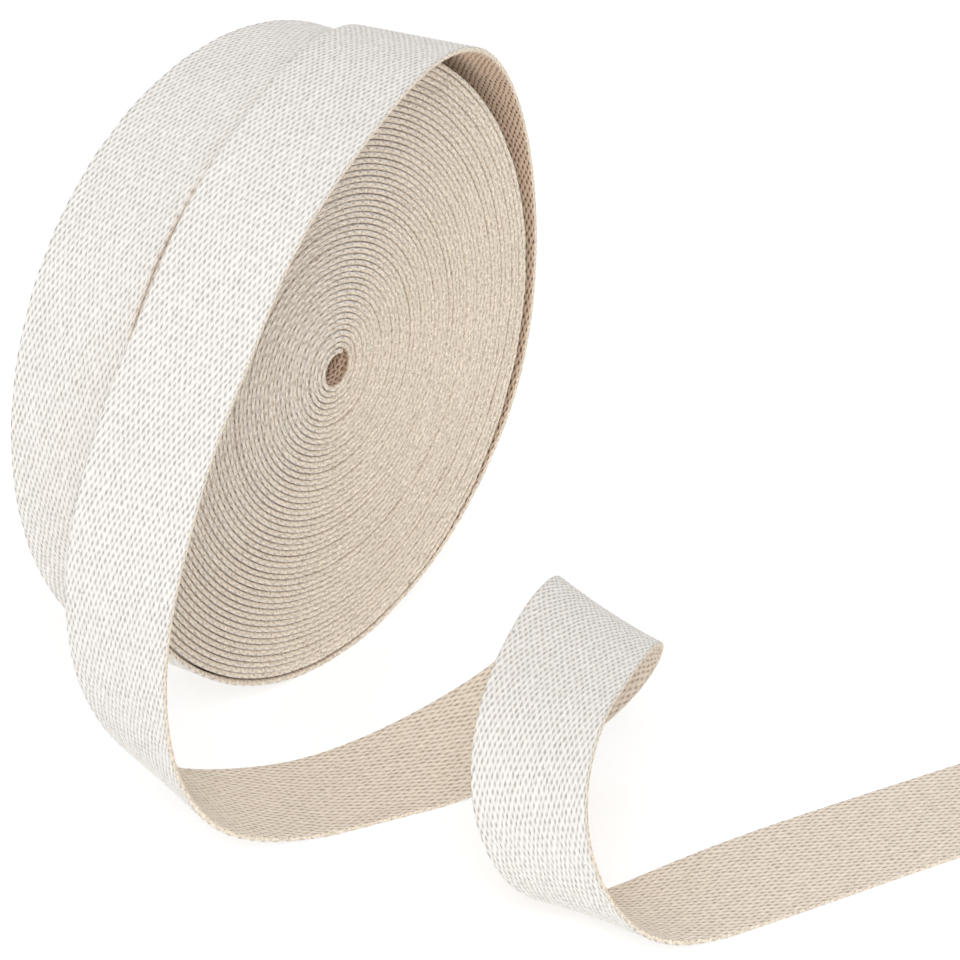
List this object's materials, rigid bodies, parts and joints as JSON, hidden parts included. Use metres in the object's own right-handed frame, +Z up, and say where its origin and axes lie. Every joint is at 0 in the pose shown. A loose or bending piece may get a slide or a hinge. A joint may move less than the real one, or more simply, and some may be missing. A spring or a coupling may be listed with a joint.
{
  "type": "roll of cotton webbing",
  "caption": "Coreless roll of natural woven cotton webbing standing on its rim, with its last turn sprung loose and curling along the floor.",
  "frame": {"origin": "on the floor, in the middle of the roll's small flat foot, under the roll's axis", "axes": "+Z up; Y along the roll's axis, with the coiled face that shows towards -Y; the last turn leaves the roll on the +X side"},
  "size_m": [0.2345, 0.2657, 0.1996],
  "materials": {
    "webbing": "unbleached cotton, plain weave, matt"
  },
  "bodies": {
    "root": {"wound_roll": "webbing", "loose_end": "webbing"}
  },
  "joints": []
}
